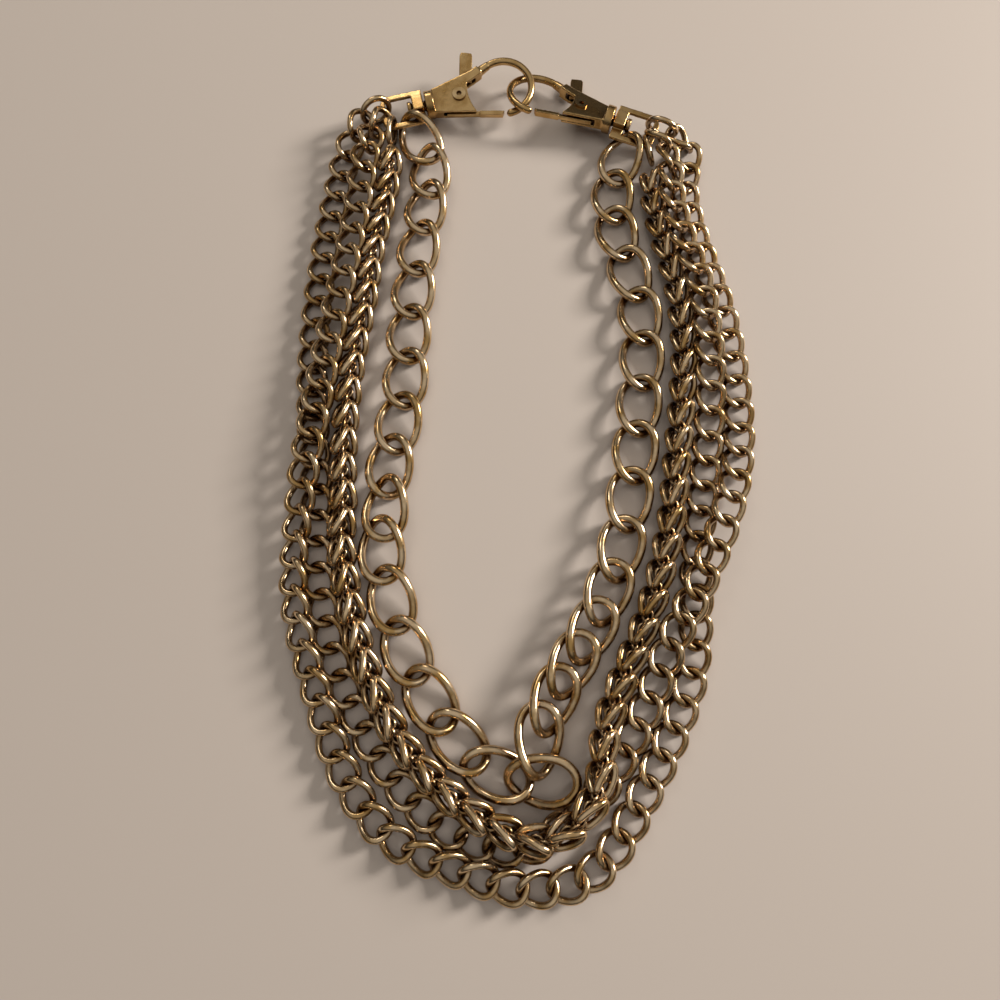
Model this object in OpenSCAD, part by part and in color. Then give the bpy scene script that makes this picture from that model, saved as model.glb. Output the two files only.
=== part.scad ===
// Necklace of four metal chains that lie side by side. Each end of the bundle hangs on the
// eye of a swivel snap clasp, and the two clasps are hooked into each other.
// Millimetres. +X is to the right, +Y runs up the necklace to its clasps, +Z is up.

/* [Large chain] */
// Length of a large link over its wire
large_len = 16.4; // [14:0.1:16.6]
// Width of a large link over its wire
large_wide = 11.2; // [10:0.1:12]
// Thickness of the wire of a large link
large_wire = 1.8; // [1.4:0.05:1.95]

/* [Curb chains] */
// Length of a curb link over its wire
curb_len = 9.1; // [8.4:0.1:10]
// Width of a curb link over its wire
curb_wide = 7.75; // [7:0.25:8]
// Thickness of the wire of a curb link
curb_wire = 1.4; // [1:0.05:1.5]
// Free play between two curb links that hang in each other
curb_play = 0.15; // [0.1:0.05:0.4]

/* [Wheat chain] */
// Width of the wheat chain
wheat_wide = 6.2; // [5:0.1:6.6]
// Height of the wheat chain
wheat_high = 4.6; // [4:0.1:5]
// Length and width of the oval ring at each end of the wheat chain
wheat_ring_len = 9; // [8:0.25:10]
// Width of the oval ring over its wire
wheat_ring_wide = 7; // [6.5:0.25:8]
// Thickness of the wire of that ring
wheat_ring_wire = 1.4; // [0.8:0.1:1.6]

/* [Clasp body] */
// Thickness of the clasp's flat body
body_thick = 3; // [2.6:0.1:3.4]
// Thickness of the wire of the hook
hook_wire = 1.9; // [1.6:0.1:2.2]
// Radius of the hook, to the middle of its wire
hook_r = 7.6; // [7:0.1:8.4]
// Distance from the collar's flange to the middle of the hook
hook_reach = 20.2; // [18.5:0.1:21.5]
// Distance of the middle of the hook above the clasp's middle line
hook_rise = 0.5; // [0:0.1:1]
// Diameter of the round flange that the eye turns against
flange_d = 7; // [6:0.1:7.6]
// Thickness of that flange
flange_thick = 2.2; // [1.5:0.1:3]

/* [Gate lever] */
// Thickness of the lever's plate
lever_thick = 1; // [0.8:0.1:1.4]
// Width of the lever's thumb tab
tab_wide = 3.4; // [2.5:0.1:4]
// Distance from the rivet to the top of the thumb tab
tab_reach = 13.4; // [11:0.1:15]
// Height of the gate bar that closes the hook
gate_high = 1.2; // [1:0.1:1.6]
// Width of the gate bar, across the clasp
gate_wide = 1.5; // [1.2:0.1:2.4]
// Distance from the rivet down to the upper edge of the gate bar
gate_drop = 4.2; // [4:0.1:4.6]
// Free gap between moving parts of a clasp
move_gap = 0.3; // [0.2:0.05:0.4]

/* [Rivet] */
// Radius of the rivet's shank
rivet_r = 1; // [0.7:0.05:1.3]
// Radius of the rivet's head
rivet_head_r = 1.75; // [1.5:0.05:2.2]
// Height of the rivet's head
rivet_head_high = 0.4; // [0.2:0.05:0.6]

/* [Swivel eye] */
// Length of the eye, from its collar's face to its far end
eye_len = 11.6; // [10:0.1:12.5]
// Width of the eye
eye_wide = 10.6; // [9.5:0.1:12]
// Width of the eye's bars
eye_bar = 1.5; // [1.2:0.1:1.8]
// Thickness of the eye's loop
eye_thick = 0.9; // [0.8:0.1:1.6]
// Length of the eye's collar, along the swivel
collar_len = 3; // [2.5:0.1:4]
// Radius of the swivel's post
post_r = 1.25; // [0.9:0.05:1.5]

/* [Hidden] */
large_sides = 12;
curb_sides = 10;
large_wire_sides = 6;
curb_wire_sides = 5;
link_gap = 0.2;
fine_steps = 6;

// One row for each large link: its middle x, y and z, then its turn away from the run of its
// neighbours, its roll and its tip, in degrees
LARGE_ROWS = [
    [-26.7, 76.5, 3.5, 15, 23, -3],
    [-23.8, 66.6, 3.2, 0, 15, 0],
    [-24.5, 56, 3, 0, 12, 0],
    [-26, 44.1, 2.8, 0, 9, 0],
    [-27, 32.2, 2.6, 0, 6, 0],
    [-27.8, 20.2, 2.4, 0, 3, 0],
    [-28.2, 8.4, 2.2, 0, 0, 0],
    [-29.5, -3.2, 2.2, 0, 0, 0],
    [-31.2, -14, 2.2, 0, 0, 0],
    [-31.6, -24.4, 3.2, 0, 15, 0],
    [-32.2, -34.2, 2.9, 0, 11, 0],
    [-29.6, -45.5, 2.7, 0, 7, 0],
    [-25.9, -56.7, 2.4, 0, 3, 0],
    [-20.4, -67, 2.2, 0, 0, 0],
    [-14.3, -75.7, 2.2, 2, 0, 0],
    [-6, -82.2, 2.3, 4, 2, 0],
    [3.5, -83.4, 3.6, -44, 10, 8],
    [2.9, -75.2, 4.1, 6, 23, 0],
    [6.1, -67.1, 3.9, 5, 24, 0],
    [10.2, -59.7, 3.8, 2, 22, 0],
    [14.6, -52.4, 3.6, 0, 19, 0],
    [18.6, -43.9, 3.3, 0, 15, 0],
    [22, -34, 3, 0, 11, 0],
    [24.5, -22.3, 2.7, 0, 7, 0],
    [26.5, -10.6, 2.4, 0, 3, 0],
    [28, 1.3, 2.2, 0, 0, 0],
    [29.3, 13.1, 2.2, 0, 0, 0],
    [29.5, 25.1, 2.2, 0, 0, 0],
    [27.5, 36.9, 2.2, 0, 0, 0],
    [24.7, 48.6, 2.2, 0, 0, 0],
    [23.9, 59.6, 2.4, 2, -3, 0],
    [26.5, 70.6, 3.3, -8, -11, 7]
];

// The outer curb chain's route: x, y and z of its middle line, and its roll in degrees
CURB_P_ROWS = [
    [-35.5, 83.9, 3.4, -76],
    [-39.1, 79, 4.4, -52],
    [-40.1, 73, 5.4, -25],
    [-40.9, 66, 5.2, -4],
    [-41.8, 54, 5, 12],
    [-43.3, 42, 5.1, 15],
    [-44.9, 30, 5.1, 10],
    [-46.5, 19, 4.9, 5],
    [-47.8, 8, 5, 0],
    [-49, -2.5, 5, 0],
    [-50.3, -12.5, 5, 5],
    [-51, -22, 4.4, 20],
    [-51.7, -32, 3.6, 32],
    [-51.6, -41, 3.4, 33],
    [-50.2, -50, 3.2, 33],
    [-47.6, -58.5, 3.2, 33],
    [-44.3, -67, 2.9, 25],
    [-41.3, -75.5, 2.5, 19],
    [-37.5, -83.5, 2.3, 14],
    [-31.8, -91.2, 2.4, 15],
    [-26.5, -95.6, 2.8, 21],
    [-19.5, -98.8, 3.2, 28],
    [-12, -101.2, 3.2, 24],
    [-5.3, -103.5, 2.9, 19],
    [1, -104.3, 2.6, 14],
    [7, -103.8, 2.3, 9],
    [12.8, -102.3, 2.1, 5],
    [17, -98.7, 1.9, 2],
    [20.5, -94, 1.7, 0],
    [24.5, -87, 1.7, 0],
    [29.2, -79, 1.7, 0],
    [33.2, -70.6, 1.7, 0],
    [36.5, -62.2, 1.7, 0],
    [38, -53, 1.7, 0],
    [38.8, -45, 1.7, 0],
    [39.2, -36.5, 1.7, 0],
    [40.8, -27, 1.7, 0],
    [42.4, -18, 1.7, 0],
    [44, -8, 2, 5],
    [45.1, 3, 3.4, 10],
    [45.3, 13, 4.9, 10],
    [45, 22, 5.2, 10],
    [44.3, 32, 5.4, 10],
    [42.3, 40, 5.7, 15],
    [40, 48, 5.8, 15],
    [38.6, 58, 5.8, 20],
    [38.8, 65.5, 5.8, 25],
    [38.5, 72.4, 5.4, 48],
    [34.7, 77.6, 5, 70]
];

// The inner curb chain's route, with the same columns
CURB_Q_ROWS = [
    [-35.9, 86.9, 4, -82],
    [-41, 84, 4, -65],
    [-44, 78.5, 3.2, -30],
    [-46.3, 71.5, 2.1, -5],
    [-48.2, 59, 1.7, 0],
    [-49.7, 47, 1.7, 0],
    [-50.9, 30, 1.7, 0],
    [-51.2, 13.5, 1.7, 0],
    [-50.4, 0, 1.7, 0],
    [-48.9, -12.5, 1.7, 0],
    [-47.8, -22, 1.7, 0],
    [-47.4, -32, 1.7, 0],
    [-46.3, -41, 1.7, 0],
    [-44.2, -50, 1.7, 0],
    [-41.9, -58.6, 1.7, 0],
    [-38, -67, 1.7, 0],
    [-33, -75.6, 1.7, 0],
    [-27.2, -83.6, 1.7, 0],
    [-20.5, -90.4, 1.7, 0],
    [-12, -95.2, 1.7, 0],
    [-4, -96.8, 1.7, 0],
    [4, -95.4, 1.7, 0],
    [10.8, -90.6, 1.7, 0],
    [17, -84, 1.7, 0],
    [22.3, -76, 1.7, 0],
    [26.5, -68.3, 2.1, -8],
    [29.9, -60.2, 3.1, -10],
    [33, -53, 4.6, 0],
    [37.3, -45.5, 5, 0],
    [41.5, -37, 5, 0],
    [44.6, -30.5, 5, 0],
    [47.3, -23, 4.6, 0],
    [50, -15, 2.9, 0],
    [51.6, -6, 1.7, 0],
    [51.9, 4, 1.7, 0],
    [51.3, 16, 1.7, 0],
    [49.8, 28, 1.7, 0],
    [46.8, 40, 1.7, 0],
    [44.5, 49, 1.7, 0],
    [43, 59, 1.7, 0],
    [43.2, 66.5, 2.2, 10],
    [45.2, 72, 2.1, 4],
    [43.6, 76.9, 2.9, 26],
    [39.6, 79.4, 4, 75],
    [34.9, 81.2, 4, 84]
];

// The wheat chain's route, with the same columns
WHEAT_ROWS = [
    [-33.6, 81.7, 4, -84],
    [-34.2, 75.4, 4.1, -75],
    [-34.2, 70, 2.9, -10],
    [-34.8, 62, 2.5, 0],
    [-36.2, 53, 2.6, 0],
    [-38, 41, 2.6, 0],
    [-38.9, 30, 2.6, 0],
    [-40.4, 19, 2.6, 0],
    [-41.5, 8, 2.6, 0],
    [-42, -3, 2.6, 0],
    [-41.9, -15, 2.6, 0],
    [-41.3, -25, 2.6, 0],
    [-41.3, -33, 2.8, 0],
    [-39.8, -41.5, 3, 0],
    [-37.7, -50, 3.2, 0],
    [-35, -58.5, 3.4, 0],
    [-31.2, -67, 3.5, 0],
    [-26.2, -75.6, 3.8, 0],
    [-19.3, -83, 4.4, 0],
    [-11.8, -89, 4.6, 0],
    [-6, -92, 5, 0],
    [-0.5, -94, 6, 0],
    [5.5, -93.9, 7.3, 0],
    [11, -90.2, 7.6, 0],
    [14.6, -84.8, 6.9, 0],
    [15.8, -79.6, 5.2, 0],
    [16.8, -74.2, 3.6, 0],
    [18.5, -69, 2.8, 0],
    [21.6, -61.8, 2.6, 0],
    [25.7, -53, 2.6, 0],
    [29.4, -43.5, 2.6, 0],
    [32.2, -34, 2.6, 0],
    [34.2, -25, 2.6, 0],
    [35.6, -15, 2.6, 0],
    [37.1, -5, 2.6, 0],
    [38.6, 6, 2.6, 0],
    [39.6, 17, 2.6, 0],
    [39.3, 28, 2.6, 0],
    [38, 38, 2.6, 0],
    [36, 47, 2.6, 0],
    [34.4, 57, 2.6, 0],
    [34.3, 64, 2.7, 5],
    [34.5, 68.8, 3.8, 50],
    [33.2, 75.9, 3.9, 90]
];

// Where each clasp sits: x, y and z of its flange, its heading, its pitch and its roll
LEFT_CLASP = [-24.1, 86.9, 4.4, 12, 3, 8];
RIGHT_CLASP = [23.7, 82.3, 4.3, 160, 2, 196];

// The rows are shifted by this much so that the origin is under the middle of the necklace
MIDDLE_SHIFT = [0, 3, 0];

large_count = len(LARGE_ROWS);
curb_pitch = curb_len - 2 * curb_wire - curb_play;

function large_name(i) = str("large_link_", i < 9 ? "0" : "", i + 1);

brass = [0.72, 0.6, 0.4];
pale_brass = [0.8, 0.7, 0.5];
dark_brass = [0.55, 0.43, 0.27];

// Smooth route through a list of rows
function between(a, b, c, d, t) = 0.5 * (2 * b + (c - a) * t + (2 * a - 5 * b + 4 * c - d) * t * t
    + (3 * b - a - 3 * c + d) * t * t * t);
function smooth(rows) = concat([for (i = [0 : len(rows) - 2], k = [0 : fine_steps - 1])
    between(rows[max(i - 1, 0)], rows[i], rows[i + 1], rows[min(i + 2, len(rows) - 1)], k / fine_steps)],
    [rows[len(rows) - 1]]);
function place(row) = [row[0], row[1], row[2]];
function lengths(path) = [for (i = 0, s = 0; i < len(path);
    s = s + (i + 1 < len(path) ? norm(place(path[i + 1]) - place(path[i])) : 0), i = i + 1) s];
function track(rows) = let (path = smooth(rows), s = lengths(path))
    [for (column = [0 : 3]) [for (i = [0 : len(path) - 1]) [s[i], path[i][column]]]];
function track_end(way) = way[0][len(way[0]) - 1][0];
function track_place(way, s) = [lookup(s, way[0]), lookup(s, way[1]), lookup(s, way[2])];

// A frame is a middle point and three directions: along, across and up
function unit(v) = v / norm(v);
function frame_of(middle, along, roll) = let (
    turned = unit(along),
    side = unit(cross([0, 0, 1], turned)),
    top = cross(turned, side))
    [middle, turned, side * cos(roll) + top * sin(roll), top * cos(roll) - side * sin(roll)];
function in_frame(f, p) = f[0] + f[1] * p[0] + f[2] * p[1] + f[3] * p[2];

// A twisted oval link: its wire rises and falls twice on the way round, so that equal
// links in a row pass over and under each other
function link_point(half_len, half_wide, lift, wire_r, t, a) = let (
    tangent = unit([-half_len * sin(t), half_wide * cos(t), 2 * lift * cos(2 * t)]),
    flat_out = [half_wide * cos(t), half_len * sin(t), 0],
    out = unit(flat_out - tangent * (flat_out * tangent)),
    bind = cross(tangent, out))
    [half_len * cos(t), half_wide * sin(t), lift * sin(2 * t)]
    + wire_r * (out * cos(a) + bind * sin(a));
function link_points(f, long, wide, wire, lift, sides, wire_sides) = let (
    fit = 1 / cos(180 / sides),
    half_len = fit * (long - wire) / 2,
    half_wide = (sides % 4 == 0 ? fit : 1) * (wide - wire) / 2)
    [for (i = [0 : sides - 1], k = [0 : wire_sides - 1]) in_frame(f,
        link_point(half_len, half_wide, lift, wire / 2, 360 * (i + 0.5) / sides, 360 * k / wire_sides))];
function ring_faces(first, sides, wire_sides) = [for (i = [0 : sides - 1], k = [0 : wire_sides - 1])
    let (a = first + i * wire_sides + k,
        b = first + i * wire_sides + (k + 1) % wire_sides,
        c = first + ((i + 1) % sides) * wire_sides + (k + 1) % wire_sides,
        d = first + ((i + 1) % sides) * wire_sides + k)
    each [[a, c, b], [a, d, c]]];

// How far a link's wire must rise so that it clears its neighbour where they cross
function twist_lift(long, wire, pitch) = let (
    cross_angle = acos(pitch / (long - wire)))
    -(wire + link_gap) / (2 * sin(2 * cross_angle));

// A flattened tube along a route, for a chain whose links are too fine to be solids here
function tube_points(way, from, to, rings, sides, wide, high) = [for (i = [0 : rings - 1]) let (
    s = from + (to - from) * i / (rings - 1),
    ahead = track_place(way, min(s + 1, to)) - track_place(way, max(s - 1, from)),
    f = frame_of(track_place(way, s), ahead, lookup(s, way[3])))
    for (k = [0 : sides - 1])
        in_frame(f, [0, wide / 2 * cos(360 * k / sides), high / 2 * sin(360 * k / sides)])];
function tube_faces(first, rings, sides) = concat(
    [for (i = [0 : rings - 2], k = [0 : sides - 1])
        let (a = first + i * sides + k,
            b = first + i * sides + (k + 1) % sides,
            c = first + (i + 1) * sides + (k + 1) % sides,
            d = first + (i + 1) * sides + k)
        each [[a, d, c], [a, c, b]]],
    [for (k = [1 : sides - 2]) let (last = first + (rings - 1) * sides)
        each [[first, first + k, first + k + 1], [last, last + k + 1, last + k]]]);

more_lift = 1.2;
large_lift = more_lift * twist_lift(large_len, large_wire, large_len - 2 * large_wire - 0.5);
curb_lift = more_lift * twist_lift(curb_len, curb_wire, curb_pitch);

function large_frame(i) = let (
    before = place(LARGE_ROWS[max(i - 1, 0)]),
    after = place(LARGE_ROWS[min(i + 1, large_count - 1)]),
    heading = atan2(after[1] - before[1], after[0] - before[0]) + LARGE_ROWS[i][3],
    tip = LARGE_ROWS[i][5])
    frame_of(place(LARGE_ROWS[i]), [cos(heading) * cos(tip), sin(heading) * cos(tip), sin(tip)],
        LARGE_ROWS[i][4]);

module large_link(i) {
    color(pale_brass)
    translate(MIDDLE_SHIFT)
    polyhedron(
        link_points(large_frame(i), large_len, large_wide, large_wire, large_lift,
            large_sides, large_wire_sides),
        ring_faces(0, large_sides, large_wire_sides), convexity = 4);
}

// Frame of link i of a curb chain that has count links along its route
function curb_frame(way, i, count) = let (
    step = track_end(way) / count,
    a = track_place(way, i * step),
    b = track_place(way, (i + 1) * step))
    frame_of((a + b) / 2, b - a, lookup((i + 0.5) * step, way[3]));
function curb_points(frames) = [for (f = frames)
    each link_points(f, curb_len, curb_wide, curb_wire, curb_lift, curb_sides, curb_wire_sides)];

module curb_chain_outer() {
    way = track(CURB_P_ROWS);
    count = round(track_end(way) / curb_pitch);
    color(brass)
    translate(MIDDLE_SHIFT)
    polyhedron(
        curb_points([for (i = [0 : count - 1]) curb_frame(way, i, count)]),
        [for (i = [0 : count - 1])
            each ring_faces(i * curb_sides * curb_wire_sides, curb_sides, curb_wire_sides)],
        convexity = 10);
}

module end_linked_tube(rows, end_long, end_wide, end_wire, end_lift, wide, high, rings) {
    way = track(rows);
    total = track_end(way);
    sides = 10;
    reach = end_long / 2 - end_wire;
    tube_start = end_long - end_wire + move_gap;
    ends = [frame_of(track_place(way, reach), track_place(way, 2 * reach) - track_place(way, 0),
            lookup(reach, way[3])),
        frame_of(track_place(way, total - reach),
            track_place(way, total) - track_place(way, total - 2 * reach),
            lookup(total - reach, way[3]))];
    end_size = curb_sides * curb_wire_sides;
    color(brass)
    translate(MIDDLE_SHIFT)
    polyhedron(
        concat(
            [for (f = ends) each link_points(f, end_long, end_wide, end_wire, end_lift,
                curb_sides, curb_wire_sides)],
            tube_points(way, tube_start, total - tube_start, rings, sides, wide, high)),
        concat(
            [for (i = [0, 1]) each ring_faces(i * end_size, curb_sides, curb_wire_sides)],
            tube_faces(2 * end_size, rings, sides)),
        convexity = 10);
}

module curb_chain_inner() {
    end_linked_tube(CURB_Q_ROWS, curb_len, curb_wide, curb_wire, 0, curb_wide - 1.2, 2.8, 40);
}

module wheat_chain() {
    end_linked_tube(WHEAT_ROWS, wheat_ring_len, wheat_ring_wide, wheat_ring_wire, 0,
        wheat_wide, wheat_high, 40);
}

// Moves a clasp piece from the clasp's own frame to its place. In that frame +X runs from
// the flange to the hook, and +Y is on the side of the thumb tab.
module at_clasp(at, roll) {
    translate(MIDDLE_SHIFT + [at[0], at[1], at[2]])
    rotate([0, 0, at[3]])
    rotate([0, -at[4], 0])
    rotate([roll, 0, 0])
    children();
}

slot_wide = lever_thick + 2 * 0.2;
pivot = [8.2, 0.3];
gate_slope = -13;
gate_start = 5.6;
tab_start = 4.4;
hook_start = 115;
hook_stop = -90;
hook_middle = [hook_reach, hook_rise];
hook_root_r = 1.3;
hook_root_len = 3.7;
hook_tip = hook_middle + hook_r * [cos(hook_stop), sin(hook_stop)];
shank_hole_r = rivet_r + 0.03;
lever_hole_r = rivet_r + 0.08;
collar_face = -1.6;
head_r = 1.8;
head_thick = 1.1;

module clasp_plate() {
    plate_end = 10.6;
    scoop_r = 14;
    linear_extrude(body_thick, center = true)
    union() {
        difference() {
            polygon([[0, -3], [11.8, -5.45], [12.6, 4.2], [12.2, 6.4], [0, 3.2]]);
            translate([plate_end + scoop_r, 0.6]) circle(scoop_r, $fn = 128);
        }
        polygon([[10.4, 3], [12.9, 4], [15.4, 5.2], [14.4, 7.4], [12.2, 6.4], [10.4, 5.6]]);
    }
}

module clasp_body() {
    turn_start = hook_middle + hook_r * [cos(hook_start), sin(hook_start)];
    difference() {
        union() {
            clasp_plate();
            rotate([0, 90, 0]) cylinder(h = flange_thick, r = flange_d / 2, center = true, $fn = 64);
        }
        translate([3.2, -12, -slot_wide / 2]) cube([30, 16.2, slot_wide]);
        translate([3.2, 4, -slot_wide / 2]) cube([10.2, 8, slot_wide]);
        translate([pivot[0], pivot[1], 0]) cylinder(h = 10, r = shank_hole_r, center = true, $fn = 48);
    }
    translate([hook_middle[0], hook_middle[1], 0])
    rotate([0, 0, hook_stop])
    rotate_extrude(angle = hook_start - hook_stop, $fn = 96)
    translate([hook_r, 0]) circle(hook_wire / 2, $fn = 32);
    tip_turn = hook_stop + 2;
    translate([hook_middle[0] + hook_r * cos(tip_turn), hook_middle[1] + hook_r * sin(tip_turn), 0])
    sphere(hook_wire / 2 - 0.04, $fn = 32);
    translate([turn_start[0], turn_start[1], 0])
    rotate([0, 0, hook_start + 90])
    translate([-0.5, 0, 0])
    rotate([0, 90, 0]) cylinder(h = hook_root_len, r1 = hook_wire / 2 + 0.12, r2 = hook_root_r, $fn = 32);
    rotate([0, -90, 0]) cylinder(h = -collar_face + collar_len + 0.6, r = post_r, $fn = 48);
    translate([collar_face - collar_len - 0.3, 0, 0])
    rotate([0, -90, 0]) cylinder(h = head_thick, r = head_r, $fn = 48);
}

module gate_lever() {
    gate_reach = norm(hook_tip - pivot) - hook_wire / 2 - move_gap;
    translate([pivot[0], pivot[1], 0])
    rotate([0, 0, gate_slope])
    difference() {
        intersection() {
            union() {
                linear_extrude(lever_thick, center = true)
                union() {
                    translate([-0.2, tab_start]) square([tab_wide, tab_reach - tab_wide / 2 - tab_start]);
                    translate([-0.2 + tab_wide / 2, tab_reach - tab_wide / 2])
                    circle(tab_wide / 2, $fn = 48);
                    translate([-2.6, -gate_drop - gate_high])
                    square([4.5, gate_drop + gate_high + tab_start + 0.5]);
                    translate([-3.2, -gate_drop - gate_high]) square([19, gate_high]);
                }
                translate([gate_start, -gate_drop - gate_high, -gate_wide / 2])
                cube([19 - gate_start, gate_high, gate_wide]);
            }
            cylinder(h = 10, r = gate_reach, center = true, $fn = 128);
        }
        cylinder(h = 10, r = lever_hole_r, center = true, $fn = 48);
    }
}

module rivet() {
    head_at = body_thick / 2 + 0.03;
    translate([pivot[0], pivot[1], 0])
    difference() {
        union() {
            cylinder(h = 2 * head_at + 0.2, r = rivet_r, center = true, $fn = 48);
            for (side = [-1, 1])
                translate([0, 0, side * (head_at + rivet_head_high / 2)])
                cylinder(h = rivet_head_high, r = rivet_head_r, center = true, $fn = 48);
        }
        for (side = [-1, 1])
            translate([0, 0, side * (head_at + rivet_head_high)])
            cylinder(h = 1.2, r = rivet_r * 0.7, center = true, $fn = 48);
    }
}

module swivel_eye() {
    far = collar_face - eye_len;
    inner = collar_face - collar_len;
    difference() {
        union() {
            translate([0, 0, -eye_thick / 2])
            linear_extrude(eye_thick)
            difference() {
                union() {
                    translate([far + 3, -eye_wide / 2]) square([eye_len - 3, eye_wide]);
                    translate([far, -eye_wide / 2 + 3]) square([eye_len, eye_wide - 6]);
                    for (side = [-1, 1])
                        translate([far + 3, side * (eye_wide / 2 - 3)]) circle(3, $fn = 48);
                }
                translate([far + eye_bar, -eye_wide / 2 + eye_bar])
                square([eye_len - eye_bar - collar_len, eye_wide - 2 * eye_bar]);
            }
            translate([inner, -2.2, -2.1]) cube([collar_len, 4.4, 4.2]);
        }
        rotate([0, 90, 0]) cylinder(h = 30, r = post_r + 0.07, center = true, $fn = 48);
    }
}

module left_clasp_body() {
    color(brass) at_clasp(LEFT_CLASP, LEFT_CLASP[5]) clasp_body();
}

module left_gate_lever() {
    color(brass) at_clasp(LEFT_CLASP, LEFT_CLASP[5]) gate_lever();
}

module left_rivet() {
    color(dark_brass) at_clasp(LEFT_CLASP, LEFT_CLASP[5]) rivet();
}

module left_swivel_eye() {
    color(brass) at_clasp(LEFT_CLASP, 0) swivel_eye();
}

module right_clasp_body() {
    color(brass) at_clasp(RIGHT_CLASP, RIGHT_CLASP[5]) clasp_body();
}

module right_gate_lever() {
    color(brass) at_clasp(RIGHT_CLASP, RIGHT_CLASP[5]) gate_lever();
}

module right_rivet() {
    color(dark_brass) at_clasp(RIGHT_CLASP, RIGHT_CLASP[5]) rivet();
}

module right_swivel_eye() {
    color(brass) at_clasp(RIGHT_CLASP, 180) swivel_eye();
}

for (i = [0 : large_count - 1]) large_link(i);
curb_chain_outer();
curb_chain_inner();
wheat_chain();
left_clasp_body();
left_gate_lever();
left_rivet();
left_swivel_eye();
right_clasp_body();
right_gate_lever();
right_rivet();
right_swivel_eye();
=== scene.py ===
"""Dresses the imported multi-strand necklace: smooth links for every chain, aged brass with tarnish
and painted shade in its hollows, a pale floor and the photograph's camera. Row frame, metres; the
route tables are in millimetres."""
import bpy
import math
import numpy as np
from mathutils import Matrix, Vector


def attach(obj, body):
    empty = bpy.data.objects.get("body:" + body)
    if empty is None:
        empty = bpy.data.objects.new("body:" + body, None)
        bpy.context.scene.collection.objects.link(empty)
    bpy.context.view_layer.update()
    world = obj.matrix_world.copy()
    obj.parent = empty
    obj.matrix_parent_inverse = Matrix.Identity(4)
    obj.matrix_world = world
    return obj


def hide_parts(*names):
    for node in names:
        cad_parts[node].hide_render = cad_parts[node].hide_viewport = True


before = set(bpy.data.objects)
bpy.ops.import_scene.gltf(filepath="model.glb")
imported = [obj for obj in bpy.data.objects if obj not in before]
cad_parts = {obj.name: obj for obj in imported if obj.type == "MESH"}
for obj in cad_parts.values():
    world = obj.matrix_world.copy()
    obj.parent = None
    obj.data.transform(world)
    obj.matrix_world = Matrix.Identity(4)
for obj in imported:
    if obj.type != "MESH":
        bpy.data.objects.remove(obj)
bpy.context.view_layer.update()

MM = 0.001
MIDDLE_SHIFT = np.array([0, 3, 0])

# Sizes of the chains, in millimetres, as in the CAD model. The shown wire is thicker than the
# solids', which keep a real gap between links that hang in each other.
LARGE = dict(long=16.4, wide=11.2, wire=1.8, shown_wire=2)
LARGE_PLAY = 0.5
CURB = dict(long=9.1, wide=7.75, wire=1.4, shown_wire=1.55)
CURB_PLAY = 0.15
LINK_GAP = 0.2
MORE_LIFT = 1.2

# The wheat chain's end rings; its folded links' wire and spacing; how far the braid is turned
# about its route, in degrees, and raised so that it lies on the surface; the small rings inside
# it, with how many go with a folded link; and where along the route the braid starts.
WHEAT_RING = dict(long=9, wide=7, wire=1.4)
WHEAT_WIRE = 1.6
WHEAT_PITCH = 6.5
WHEAT_TURN = -46
WHEAT_RISE = 0.9
WHEAT_CORE = dict(long=3.4, wide=2.8, wire=0.8)
CORES_PER_LINK = 4
BRAID_START = WHEAT_RING["long"] - WHEAT_RING["wire"] + 1.8
BRAID_AIM = 2

# Steps along a ring's centre line and sides of its wire
LARGE_STEPS, LARGE_SIDES = 64, 16
SMALL_STEPS, SMALL_SIDES = 44, 12
CORE_STEPS, CORE_SIDES = 20, 6
FOLD_STEPS, FOLD_SIDES = 3, 10
# A direction that no wire starts along
ASKEW = [0.31, 0.17, 0.94]

# One row for each large link: its middle x, y and z, then its turn away from the run of its
# neighbours, its roll and its tip, in degrees
LARGE_ROWS = [
    [-26.7, 76.5, 3.5, 15, 23, -3],
    [-23.8, 66.6, 3.2, 0, 15, 0],
    [-24.5, 56, 3, 0, 12, 0],
    [-26, 44.1, 2.8, 0, 9, 0],
    [-27, 32.2, 2.6, 0, 6, 0],
    [-27.8, 20.2, 2.4, 0, 3, 0],
    [-28.2, 8.4, 2.2, 0, 0, 0],
    [-29.5, -3.2, 2.2, 0, 0, 0],
    [-31.2, -14, 2.2, 0, 0, 0],
    [-31.6, -24.4, 3.2, 0, 15, 0],
    [-32.2, -34.2, 2.9, 0, 11, 0],
    [-29.6, -45.5, 2.7, 0, 7, 0],
    [-25.9, -56.7, 2.4, 0, 3, 0],
    [-20.4, -67, 2.2, 0, 0, 0],
    [-14.3, -75.7, 2.2, 2, 0, 0],
    [-6, -82.2, 2.3, 4, 2, 0],
    [3.5, -83.4, 3.6, -44, 10, 8],
    [2.9, -75.2, 4.1, 6, 23, 0],
    [6.1, -67.1, 3.9, 5, 24, 0],
    [10.2, -59.7, 3.8, 2, 22, 0],
    [14.6, -52.4, 3.6, 0, 19, 0],
    [18.6, -43.9, 3.3, 0, 15, 0],
    [22, -34, 3, 0, 11, 0],
    [24.5, -22.3, 2.7, 0, 7, 0],
    [26.5, -10.6, 2.4, 0, 3, 0],
    [28, 1.3, 2.2, 0, 0, 0],
    [29.3, 13.1, 2.2, 0, 0, 0],
    [29.5, 25.1, 2.2, 0, 0, 0],
    [27.5, 36.9, 2.2, 0, 0, 0],
    [24.7, 48.6, 2.2, 0, 0, 0],
    [23.9, 59.6, 2.4, 2, -3, 0],
    [26.5, 70.6, 3.3, -8, -11, 7],
]

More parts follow.
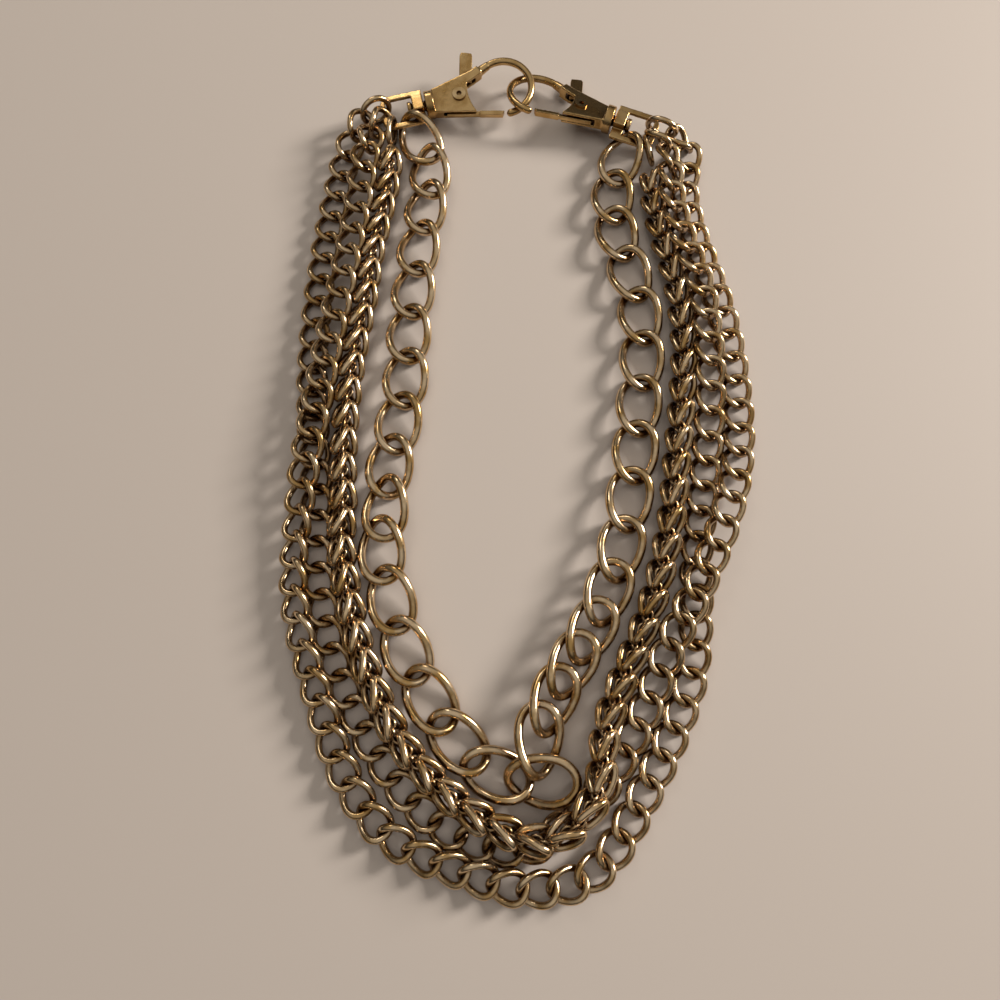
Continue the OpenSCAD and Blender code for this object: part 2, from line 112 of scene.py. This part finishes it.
# The outer curb chain's route: x, y and z of its middle line, and its roll in degrees
CURB_P_ROWS = [
    [-35.5, 83.9, 3.4, -76],
    [-39.1, 79, 4.4, -52],
    [-40.1, 73, 5.4, -25],
    [-40.9, 66, 5.2, -4],
    [-41.8, 54, 5, 12],
    [-43.3, 42, 5.1, 15],
    [-44.9, 30, 5.1, 10],
    [-46.5, 19, 4.9, 5],
    [-47.8, 8, 5, 0],
    [-49, -2.5, 5, 0],
    [-50.3, -12.5, 5, 5],
    [-51, -22, 4.4, 20],
    [-51.7, -32, 3.6, 32],
    [-51.6, -41, 3.4, 33],
    [-50.2, -50, 3.2, 33],
    [-47.6, -58.5, 3.2, 33],
    [-44.3, -67, 2.9, 25],
    [-41.3, -75.5, 2.5, 19],
    [-37.5, -83.5, 2.3, 14],
    [-31.8, -91.2, 2.4, 15],
    [-26.5, -95.6, 2.8, 21],
    [-19.5, -98.8, 3.2, 28],
    [-12, -101.2, 3.2, 24],
    [-5.3, -103.5, 2.9, 19],
    [1, -104.3, 2.6, 14],
    [7, -103.8, 2.3, 9],
    [12.8, -102.3, 2.1, 5],
    [17, -98.7, 1.9, 2],
    [20.5, -94, 1.7, 0],
    [24.5, -87, 1.7, 0],
    [29.2, -79, 1.7, 0],
    [33.2, -70.6, 1.7, 0],
    [36.5, -62.2, 1.7, 0],
    [38, -53, 1.7, 0],
    [38.8, -45, 1.7, 0],
    [39.2, -36.5, 1.7, 0],
    [40.8, -27, 1.7, 0],
    [42.4, -18, 1.7, 0],
    [44, -8, 2, 5],
    [45.1, 3, 3.4, 10],
    [45.3, 13, 4.9, 10],
    [45, 22, 5.2, 10],
    [44.3, 32, 5.4, 10],
    [42.3, 40, 5.7, 15],
    [40, 48, 5.8, 15],
    [38.6, 58, 5.8, 20],
    [38.8, 65.5, 5.8, 25],
    [38.5, 72.4, 5.4, 48],
    [34.7, 77.6, 5, 70],
]

# The inner curb chain's route, with the same columns
CURB_Q_ROWS = [
    [-35.9, 86.9, 4, -82],
    [-41, 84, 4, -65],
    [-44, 78.5, 3.2, -30],
    [-46.3, 71.5, 2.1, -5],
    [-48.2, 59, 1.7, 0],
    [-49.7, 47, 1.7, 0],
    [-50.9, 30, 1.7, 0],
    [-51.2, 13.5, 1.7, 0],
    [-50.4, 0, 1.7, 0],
    [-48.9, -12.5, 1.7, 0],
    [-47.8, -22, 1.7, 0],
    [-47.4, -32, 1.7, 0],
    [-46.3, -41, 1.7, 0],
    [-44.2, -50, 1.7, 0],
    [-41.9, -58.6, 1.7, 0],
    [-38, -67, 1.7, 0],
    [-33, -75.6, 1.7, 0],
    [-27.2, -83.6, 1.7, 0],
    [-20.5, -90.4, 1.7, 0],
    [-12, -95.2, 1.7, 0],
    [-4, -96.8, 1.7, 0],
    [4, -95.4, 1.7, 0],
    [10.8, -90.6, 1.7, 0],
    [17, -84, 1.7, 0],
    [22.3, -76, 1.7, 0],
    [26.5, -68.3, 2.1, -8],
    [29.9, -60.2, 3.1, -10],
    [33, -53, 4.6, 0],
    [37.3, -45.5, 5, 0],
    [41.5, -37, 5, 0],
    [44.6, -30.5, 5, 0],
    [47.3, -23, 4.6, 0],
    [50, -15, 2.9, 0],
    [51.6, -6, 1.7, 0],
    [51.9, 4, 1.7, 0],
    [51.3, 16, 1.7, 0],
    [49.8, 28, 1.7, 0],
    [46.8, 40, 1.7, 0],
    [44.5, 49, 1.7, 0],
    [43, 59, 1.7, 0],
    [43.2, 66.5, 2.2, 10],
    [45.2, 72, 2.1, 4],
    [43.6, 76.9, 2.9, 26],
    [39.6, 79.4, 4, 75],
    [34.9, 81.2, 4, 84],
]

# The wheat chain's route, with the same columns
WHEAT_ROWS = [
    [-33.6, 81.7, 4, -84],
    [-34.2, 75.4, 4.1, -75],
    [-34.2, 70, 2.9, -10],
    [-34.8, 62, 2.5, 0],
    [-36.2, 53, 2.6, 0],
    [-38, 41, 2.6, 0],
    [-38.9, 30, 2.6, 0],
    [-40.4, 19, 2.6, 0],
    [-41.5, 8, 2.6, 0],
    [-42, -3, 2.6, 0],
    [-41.9, -15, 2.6, 0],
    [-41.3, -25, 2.6, 0],
    [-41.3, -33, 2.8, 0],
    [-39.8, -41.5, 3, 0],
    [-37.7, -50, 3.2, 0],
    [-35, -58.5, 3.4, 0],
    [-31.2, -67, 3.5, 0],
    [-26.2, -75.6, 3.8, 0],
    [-19.3, -83, 4.4, 0],
    [-11.8, -89, 4.6, 0],
    [-6, -92, 5, 0],
    [-0.5, -94, 6, 0],
    [5.5, -93.9, 7.3, 0],
    [11, -90.2, 7.6, 0],
    [14.6, -84.8, 6.9, 0],
    [15.8, -79.6, 5.2, 0],
    [16.8, -74.2, 3.6, 0],
    [18.5, -69, 2.8, 0],
    [21.6, -61.8, 2.6, 0],
    [25.7, -53, 2.6, 0],
    [29.4, -43.5, 2.6, 0],
    [32.2, -34, 2.6, 0],
    [34.2, -25, 2.6, 0],
    [35.6, -15, 2.6, 0],
    [37.1, -5, 2.6, 0],
    [38.6, 6, 2.6, 0],
    [39.6, 17, 2.6, 0],
    [39.3, 28, 2.6, 0],
    [38, 38, 2.6, 0],
    [36, 47, 2.6, 0],
    [34.4, 57, 2.6, 0],
    [34.3, 64, 2.7, 5],
    [34.5, 68.8, 3.8, 50],
    [33.2, 75.9, 3.9, 90],
]


# ---- routes and links -------------------------------------------------------------------

def between(a, b, c, d, t):
    """Point at t on the smooth curve through b and c."""
    return 0.5 * (2 * b + (c - a) * t + (2 * a - 5 * b + 4 * c - d) * t ** 2
                  + (3 * b - a - 3 * c + d) * t ** 3)


class Route:
    """Smooth route through rows of x, y, z and roll, read by its length."""

    def __init__(self, rows, steps=6):
        rows = np.array(rows, float)
        n = len(rows)
        path = [between(rows[max(i - 1, 0)], rows[i], rows[i + 1], rows[min(i + 2, n - 1)],
                        k / steps)
                for i in range(n - 1) for k in range(steps)]
        self.path = np.array(path + [rows[-1]])
        gaps = np.linalg.norm(np.diff(self.path[:, :3], axis=0), axis=1)
        self.at = np.concatenate([[0], np.cumsum(gaps)])
        self.total = self.at[-1]

    def point(self, s):
        return np.array([np.interp(s, self.at, self.path[:, k]) for k in range(3)])

    def roll(self, s):
        return float(np.interp(s, self.at, self.path[:, 3]))


def unit(v):
    return v / np.linalg.norm(v)


def axes_of(along, roll):
    """Directions along, across and up of a link that runs along a direction."""
    turned = unit(np.array(along, float))
    side = unit(np.cross([0, 0, 1], turned))
    top = np.cross(turned, side)
    r = math.radians(roll)
    return np.array([turned, side * math.cos(r) + top * math.sin(r),
                     top * math.cos(r) - side * math.sin(r)])


def twist_lift(link, pitch):
    """How far a link's wire rises so that it clears its neighbour where they cross."""
    crossing = math.acos(pitch / (link["long"] - link["wire"]))
    return -MORE_LIFT * (link["wire"] + LINK_GAP) / (2 * math.sin(2 * crossing))


def ring_mesh(centres, wire_r, sides):
    """Vertices and quads of a round wire bent along a closed list of centres."""
    c = np.asarray(centres)
    n = len(c)
    tangent = np.roll(c, -1, 0) - np.roll(c, 1, 0)
    tangent /= np.linalg.norm(tangent, axis=1)[:, None]
    start = np.cross(tangent[0], ASKEW)
    across = [start / np.linalg.norm(start)]
    for t in tangent[1:]:
        across.append(unit(across[-1] - t * np.dot(across[-1], t)))
    across = np.array(across)
    closing = unit(across[-1] - tangent[0] * np.dot(across[-1], tangent[0]))
    turn = math.atan2(np.dot(np.cross(across[0], closing), tangent[0]), np.dot(across[0], closing))
    bind = np.cross(tangent, across)
    angle = 2 * math.pi * np.arange(sides)[None, :] / sides - (turn * np.arange(n) / n)[:, None]
    verts = (c[:, None] + wire_r * (across[:, None] * np.cos(angle)[:, :, None]
                                    + bind[:, None] * np.sin(angle)[:, :, None])).reshape(-1, 3)
    i, k = np.meshgrid(np.arange(n), np.arange(sides), indexing="ij")
    i2, k2 = (i + 1) % n, (k + 1) % sides
    quads = np.stack([i * sides + k, i2 * sides + k, i2 * sides + k2, i * sides + k2], -1)
    return verts, quads.reshape(-1, 4)[:, ::-1]


def closed_curve(points, steps):
    """Smooth closed curve through a few points."""
    p = np.array(points, float)
    n = len(p)
    return np.array([between(p[i - 1], p[i], p[(i + 1) % n], p[(i + 2) % n], k / steps)
                     for i in range(n) for k in range(steps)])


def oval(link, lift, steps):
    """Centre line of an oval link in its own frame; lift twists it."""
    t = 2 * math.pi * np.arange(steps) / steps
    return np.stack([(link["long"] - link["wire"]) / 2 * np.cos(t),
                     (link["wide"] - link["wire"]) / 2 * np.sin(t), lift * np.sin(2 * t)], 1)


def thicker(link):
    """Raises a link by what its shown wire is thicker, so that it stays on the surface."""
    return np.array([0, 0, (link["shown_wire"] - link["wire"]) / 2])


class Pieces:
    """Collects many placed rings into one mesh."""

    def __init__(self):
        self.verts, self.faces, self.count = [], [], 0

    def add(self, ring, middle, axes):
        verts, faces = ring
        self.verts.append(middle + verts @ axes)
        self.faces.append(faces + self.count)
        self.count += len(verts)

    def piece(self, name, material, slot, node):
        points = (np.concatenate(self.verts) + MIDDLE_SHIFT) * MM
        mesh = bpy.data.meshes.new(name)
        mesh.from_pydata(points.tolist(), [], np.concatenate(self.faces).tolist())
        dressed(name, mesh, material, "chains", node)


def dressed(name, mesh, material, body, node):
    """Makes a mesh into a smooth piece that rides on a body and replaces a CAD node."""
    mesh.polygons.foreach_set("use_smooth", [True] * len(mesh.polygons))
    mesh.update()
    mesh.materials.clear()
    mesh.materials.append(material)
    obj = bpy.data.objects.new(name, mesh)
    bpy.context.scene.collection.objects.link(obj)
    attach(obj, body)
    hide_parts(node)


# ---- materials --------------------------------------------------------------------------

# Brass: size of the dull patches, where in their noise they end and begin, and how much rougher
# or smoother they make it; the fine unevenness of its skin; and the dark brown in the hollows,
# partly tarnish where polishing never reaches and partly painted shade: it darkens every spot that
# other links or the floor crowd within its reach in metres, such as the creases between links and
# the lower sides near the floor, with the openness over which it fades.
PATCHES = dict(scale=260, detail=3)
PATCH_ENDS = (0.36, 0.6)
DULL_ROUGHER, BRIGHT_SMOOTHER = 0.1, 0.04
SKIN = dict(scale=900, detail=2)
SKIN_DEPTH = 0.0001
# Dark brown of tarnish and of painted shade, where links crowd each other or the floor
TARNISH_AND_SHADE = (0.13, 0.055, 0.015)
TARNISH_AND_SHADE_REACH = 0.006
TARNISH_AND_SHADE_FADE = (0.2, 0.88)
TARNISH_AND_SHADE_SAMPLES = 4


def aged_brass_with_painted_shade(name, bright, dull, rough, uneven):
    """Polished brass that has dulled in patches, with a slightly uneven skin; its hollows darkened
    by tarnish and painted shade; linear colours.
    """
    mat = bpy.data.materials.new(name)
    mat.use_nodes = True
    nodes, links = mat.node_tree.nodes, mat.node_tree.links
    shader = nodes["Principled BSDF"]
    shader.inputs["Metallic"].default_value = 1.0
    coords = nodes.new("ShaderNodeTexCoord")

    def noise(scale, detail):
        node = nodes.new("ShaderNodeTexNoise")
        node.inputs["Scale"].default_value = scale
        node.inputs["Detail"].default_value = detail
        links.new(coords.outputs["Object"], node.inputs["Vector"])
        return node

    patches = noise(**PATCHES)
    ramp = nodes.new("ShaderNodeValToRGB")
    for stop, place, colour in zip(ramp.color_ramp.elements, PATCH_ENDS, (dull, bright)):
        stop.position = place
        stop.color = (*colour, 1)
    links.new(patches.outputs["Fac"], ramp.inputs["Fac"])
    # Painted shade with tarnish: ambient occlusion darkens the colour in the creases between links
    # and on the lower sides near the floor
    occlusion = nodes.new("ShaderNodeAmbientOcclusion")
    occlusion.samples = TARNISH_AND_SHADE_SAMPLES
    occlusion.inputs["Distance"].default_value = TARNISH_AND_SHADE_REACH
    shade = nodes.new("ShaderNodeMapRange")
    shade.inputs["From Min"].default_value, shade.inputs["From Max"].default_value = TARNISH_AND_SHADE_FADE
    links.new(occlusion.outputs["AO"], shade.inputs["Value"])
    tarnish_and_shade = nodes.new("ShaderNodeMix")
    tarnish_and_shade.data_type = "RGBA"
    links.new(shade.outputs["Result"], tarnish_and_shade.inputs["Factor"])
    tarnish_and_shade.inputs["A"].default_value = (*TARNISH_AND_SHADE, 1)
    links.new(ramp.outputs["Color"], tarnish_and_shade.inputs["B"])
    links.new(tarnish_and_shade.outputs["Result"], shader.inputs["Base Color"])
    gloss = nodes.new("ShaderNodeMapRange")
    gloss.inputs["To Min"].default_value = rough + DULL_ROUGHER
    gloss.inputs["To Max"].default_value = rough - BRIGHT_SMOOTHER
    links.new(patches.outputs["Fac"], gloss.inputs["Value"])
    links.new(gloss.outputs["Result"], shader.inputs["Roughness"])
    bump = nodes.new("ShaderNodeBump")
    bump.inputs["Strength"].default_value = uneven
    bump.inputs["Distance"].default_value = SKIN_DEPTH
    links.new(noise(**SKIN).outputs["Fac"], bump.inputs["Height"])
    links.new(bump.outputs["Normal"], shader.inputs["Normal"])
    return mat


LINK_BRASS = aged_brass_with_painted_shade("link_brass", (0.83, 0.64, 0.42), (0.54, 0.34, 0.13), 0.18, 0.35)
CURB_BRASS = aged_brass_with_painted_shade("curb_brass", (0.8, 0.61, 0.39), (0.5, 0.31, 0.12), 0.2, 0.3)
WHEAT_BRASS = aged_brass_with_painted_shade("wheat_brass", (0.84, 0.64, 0.41), (0.52, 0.32, 0.12), 0.19, 0.3)
CLASP_BRASS = aged_brass_with_painted_shade("clasp_brass", (0.66, 0.45, 0.21), (0.46, 0.28, 0.1), 0.22, 0.2)
RIVET_BRASS = aged_brass_with_painted_shade("rivet_brass", (0.78, 0.57, 0.32), (0.5, 0.32, 0.13), 0.2, 0.3)


# ---- chains -----------------------------------------------------------------------------

def large_links():
    """Each large link as a piece of its own, in its place on the table."""
    lift = twist_lift(LARGE, LARGE["long"] - 2 * LARGE["wire"] - LARGE_PLAY)
    rows = np.array(LARGE_ROWS, float)
    ring = ring_mesh(oval(LARGE, lift, LARGE_STEPS), LARGE["shown_wire"] / 2, LARGE_SIDES)
    for i, (x, y, z, turn, roll, tip) in enumerate(rows):
        run = rows[min(i + 1, len(rows) - 1)] - rows[max(i - 1, 0)]
        heading = math.atan2(run[1], run[0]) + math.radians(turn)
        tip = math.radians(tip)
        along = [math.cos(heading) * math.cos(tip), math.sin(heading) * math.cos(tip),
                 math.sin(tip)]
        link = Pieces()
        link.add(ring, rows[i, :3] + thicker(LARGE), axes_of(along, roll))
        link.piece(f"link_{i + 1:02d}", LINK_BRASS, "large_links", f"large_link_{i + 1:02d}")


def curb_chain(rows, plain_ends):
    """Every link of a curb chain; plain_ends leaves the first and last link untwisted."""
    route = Route(rows)
    pitch = CURB["long"] - 2 * CURB["wire"] - CURB_PLAY
    count = round(route.total / pitch)
    step = route.total / count
    twisted, flat = [ring_mesh(oval(CURB, lift, SMALL_STEPS), CURB["shown_wire"] / 2, SMALL_SIDES)
                     for lift in (twist_lift(CURB, pitch), 0)]
    chain = Pieces()
    for i in range(count):
        a, b = route.point(i * step), route.point((i + 1) * step)
        ring = flat if plain_ends and i in (0, count - 1) else twisted
        chain.add(ring, (a + b) / 2 + thicker(CURB), axes_of(b - a, route.roll((i + 0.5) * step)))
    return chain


# One quarter of a folded link of the wheat chain: along, out to its edge, and up
WHEAT_QUARTER = [(-3.2, 0, 1.3), (-2.95, 0.6, 1.7), (-1.4, 1.3, 1.85), (0.2, 1.95, 1.65),
                 (1.6, 2.4, 1.1), (2.5, 2.35, 0.4), (2.65, 2.3, 0)]


def folded_link():
    """A long loop folded over the chain, with its two ends together at the front."""
    right = WHEAT_QUARTER + [(s, y, -z) for s, y, z in reversed(WHEAT_QUARTER[:-1])]
    loop = right + [(s, -y, z) for s, y, z in reversed(right[1:-1])]
    return ring_mesh(closed_curve(loop, FOLD_STEPS), WHEAT_WIRE / 2, FOLD_SIDES)


def wheat_chain():
    """A ring at each end and the braid between them."""
    route = Route(WHEAT_ROWS)
    chain = Pieces()
    reach = WHEAT_RING["long"] / 2 - WHEAT_RING["wire"]
    ring = ring_mesh(oval(WHEAT_RING, 0, SMALL_STEPS), WHEAT_RING["wire"] / 2, SMALL_SIDES)
    for s in (reach, route.total - reach):
        run = route.point(s + reach) - route.point(s - reach)
        chain.add(ring, route.point(s), axes_of(run, route.roll(s)))
    start, end = BRAID_START, route.total - BRAID_START
    count = round((end - start) / WHEAT_PITCH)
    step = (end - start) / count

    def lay(ring, s, turn):
        run = route.point(s + BRAID_AIM) - route.point(s - BRAID_AIM)
        chain.add(ring, route.point(s) + [0, 0, WHEAT_RISE], axes_of(run, turn))

    fold = folded_link()
    core = ring_mesh(oval(WHEAT_CORE, 0, CORE_STEPS), WHEAT_CORE["wire"] / 2, CORE_SIDES)
    for i in range(count):
        lay(fold, start + (i + 0.5) * step, WHEAT_TURN)
        for k in range(CORES_PER_LINK):
            lay(core, start + (i + k / CORES_PER_LINK) * step, WHEAT_TURN + 45 + 90 * (k % 2))
    return chain


def softened(node, body, voxel, passes):
    """A clasp's CAD piece again with its sharp edges rounded, as on a casting; voxel in mm."""
    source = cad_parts[node]
    rough = bpy.data.objects.new(node + "_rough", source.data.copy())
    bpy.context.scene.collection.objects.link(rough)
    remesh = rough.modifiers.new("remesh", "REMESH")
    remesh.mode = "VOXEL"
    remesh.voxel_size = voxel * MM
    smooth = rough.modifiers.new("smooth", "SMOOTH")
    smooth.factor = 0.5
    smooth.iterations = passes
    seen = rough.evaluated_get(bpy.context.evaluated_depsgraph_get())
    mesh = bpy.data.meshes.new_from_object(seen)
    bpy.data.objects.remove(rough)
    dressed(node + "_cast", mesh, CLASP_BRASS, body, node)


large_links()
for curb_name, curb_rows, plain in (("outer", CURB_P_ROWS, False), ("inner", CURB_Q_ROWS, True)):
    curb_chain(curb_rows, plain).piece(f"{curb_name}_curb_links", CURB_BRASS, "curb_links",
                                       f"curb_chain_{curb_name}")
wheat_chain().piece("wheat_links", WHEAT_BRASS, "wheat_links", "wheat_chain")

for side in ("left", "right"):
    softened(f"{side}_clasp_body", f"{side}_clasp", 0.15, 16)
    softened(f"{side}_gate_lever", f"{side}_lever", 0.12, 5)
    softened(f"{side}_swivel_eye", "chains", 0.14, 5)
    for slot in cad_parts[f"{side}_rivet"].material_slots:
        slot.material = RIVET_BRASS


# ---- floor, light and camera ------------------------------------------------------------

# Where up the room's walls each brightness is, from the horizon (0) to straight up (1)
ROOM_LEVELS = [(0.3, 0.02), (0.9, 0.44)]
ROOM_TINT = (1, 0.94, 0.85)

FLOOR_HALF = 1.5
FLOOR_COLOUR = (0.55, 0.482, 0.43)
FLOOR_ROUGHNESS = 0.7

# The photograph's camera: place in millimetres, tilt off straight down in degrees, and focal
# length as a share of the picture's width
CAMERA_PLACE = (-5.3, -65.81, 170)
CAMERA_TILT = 15.5
CAMERA_FOCAL = 751 / 1000
CAMERA_SENSOR = 36
CAMERA_NEAR = 0.005


def floor():
    """The plain pale surface that the necklace lies on."""
    mesh = bpy.data.meshes.new("floor")
    corners = [(x * FLOOR_HALF, y * FLOOR_HALF, 0) for x, y in ((-1, -1), (1, -1), (1, 1), (-1, 1))]
    mesh.from_pydata(corners, [], [(0, 1, 2, 3)])
    obj = bpy.data.objects.new("floor", mesh)
    bpy.context.scene.collection.objects.link(obj)
    mat = bpy.data.materials.new("floor_paint")
    mat.use_nodes = True
    shader = mat.node_tree.nodes["Principled BSDF"]
    shader.inputs["Base Color"].default_value = (*FLOOR_COLOUR, 1)
    shader.inputs["Roughness"].default_value = FLOOR_ROUGHNESS
    mesh.materials.append(mat)


def area_light(name, place, size, power, colour, mirrored=True):
    """Soft light aimed at the necklace; one that is not mirrored gives no highlights."""
    data = bpy.data.lights.new(name, "AREA")
    data.shape = "RECTANGLE"
    data.size, data.size_y = size
    data.energy = power
    data.color = colour
    obj = bpy.data.objects.new(name, data)
    obj.location = place
    obj.rotation_euler = (-Vector(place)).to_track_quat("-Z", "Y").to_euler()
    obj.visible_glossy = mirrored
    bpy.context.scene.collection.objects.link(obj)


def room():
    """Dim warm room, brighter overhead than near the floor."""
    world = bpy.data.worlds.new("room")
    bpy.context.scene.world = world
    world.use_nodes = True
    nodes, links = world.node_tree.nodes, world.node_tree.links
    coords = nodes.new("ShaderNodeTexCoord")
    split = nodes.new("ShaderNodeSeparateXYZ")
    links.new(coords.outputs["Generated"], split.inputs["Vector"])
    ramp = nodes.new("ShaderNodeValToRGB")
    for stop, level in zip(ramp.color_ramp.elements, ROOM_LEVELS):
        stop.position, value = level
        stop.color = (*[value * tint for tint in ROOM_TINT], 1)
    links.new(split.outputs["Z"], ramp.inputs["Fac"])
    links.new(ramp.outputs["Color"], nodes["Background"].inputs["Color"])


def camera():
    """The scene's one camera, in the photograph's place."""
    data = bpy.data.cameras.new("camera")
    data.sensor_width = CAMERA_SENSOR
    data.lens = CAMERA_FOCAL * CAMERA_SENSOR
    data.clip_start = CAMERA_NEAR
    obj = bpy.data.objects.new("camera", data)
    obj.location = [v * MM for v in CAMERA_PLACE]
    obj.rotation_euler = (math.radians(CAMERA_TILT), 0, 0)
    bpy.context.scene.collection.objects.link(obj)
    bpy.context.scene.camera = obj


floor()
room()
area_light("window", (1.26, 0.49, 0.62), (0.34, 0.42), 28, (1.0, 0.95, 0.89))
area_light("overhead", (0.1, 0.0, 1.2), (1.0, 1.0), 1.9, (1.0, 0.93, 0.88), mirrored=False)
area_light("far_lamp", (-0.25, 0.9, 0.7), (0.25, 0.25), 1.0, (1.0, 0.93, 0.82))
camera()
bpy.context.scene.view_settings.view_transform = "Standard"
